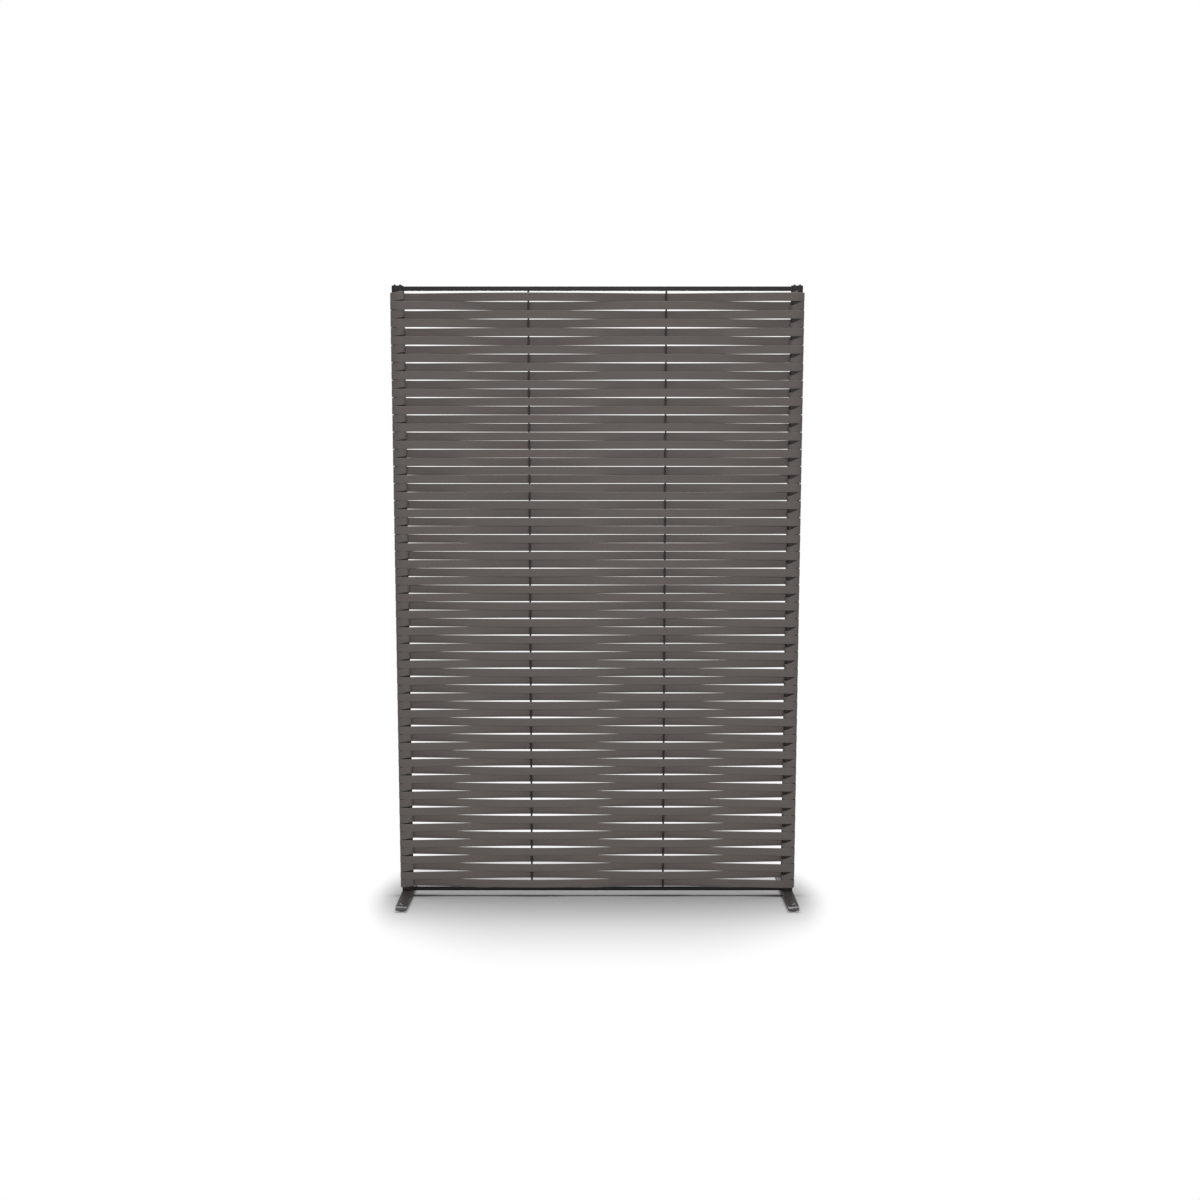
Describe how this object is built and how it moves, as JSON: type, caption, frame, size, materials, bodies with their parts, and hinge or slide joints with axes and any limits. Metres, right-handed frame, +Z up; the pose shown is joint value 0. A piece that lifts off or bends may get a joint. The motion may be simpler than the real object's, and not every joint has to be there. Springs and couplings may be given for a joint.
{
  "type": "garden privacy screen",
  "caption": "Free-standing garden privacy screen: a slim metal frame on two feet, filled with rows of flat woven strap.",
  "frame": {"origin": "on the floor, under the middle of the screen", "axes": "+Z up, +X along the screen to the viewer's right, -Y towards the viewer"},
  "size_m": [1.181, 0.3, 1.8],
  "materials": {
    "powder_coat": "satin",
    "woven_strap": "matte",
    "cap_plastic": "satin",
    "glide_plastic": "matte",
    "zinc_steel": "satin",
    "rivets": "satin"
  },
  "bodies": {
    "screen": {"adjuster_plugs": "cap_plastic", "bottom_rail": "powder_coat", "foot_screws": "zinc_steel", "foot_washers": "zinc_steel", "glide_inserts": "zinc_steel", "left_back_foot_cap": "cap_plastic", "left_foot": "powder_coat", "left_front_foot_cap": "cap_plastic", "left_post": "powder_coat", "left_post_cap": "cap_plastic", "left_post_nut_plate": "zinc_steel", "left_upright": "powder_coat", "right_back_foot_cap": "cap_plastic", "right_foot": "powder_coat", "right_front_foot_cap": "cap_plastic", "right_post": "powder_coat", "right_post_cap": "cap_plastic", "right_post_nut_plate": "zinc_steel", "right_upright": "powder_coat", "strap_length_01": "woven_strap", "strap_length_02": "woven_strap", "strap_length_03": "woven_strap", "strap_length_04": "woven_strap", "strap_length_05": "woven_strap", "strap_length_06": "woven_strap", "strap_length_07": "woven_strap", "strap_length_08": "woven_strap", "strap_length_09": "woven_strap", "strap_length_10": "woven_strap", "strap_length_11": "woven_strap", "strap_length_12": "woven_strap", "strap_rivets": "rivets", "top_rail": "powder_coat"},
    "left_front_glide": {"left_front_glide_pad": "glide_plastic", "left_front_glide_stud": "zinc_steel"},
    "left_back_glide": {"left_back_glide_pad": "glide_plastic", "left_back_glide_stud": "zinc_steel"},
    "right_front_glide": {"right_front_glide_pad": "glide_plastic", "right_front_glide_stud": "zinc_steel"},
    "right_back_glide": {"right_back_glide_pad": "glide_plastic", "right_back_glide_stud": "zinc_steel"}
  },
  "joints": [
    {"name": "left_front_glide_screw", "type": "slide", "parent": "screen", "child": "left_front_glide", "axis": [0, 0, 1], "range_m": [-0.006, 0]},
    {"name": "left_back_glide_screw", "type": "slide", "parent": "screen", "child": "left_back_glide", "axis": [0, 0, 1], "range_m": [-0.006, 0]},
    {"name": "right_front_glide_screw", "type": "slide", "parent": "screen", "child": "right_front_glide", "axis": [0, 0, 1], "range_m": [-0.006, 0]},
    {"name": "right_back_glide_screw", "type": "slide", "parent": "screen", "child": "right_back_glide", "axis": [0, 0, 1], "range_m": [-0.006, 0]}
  ]
}
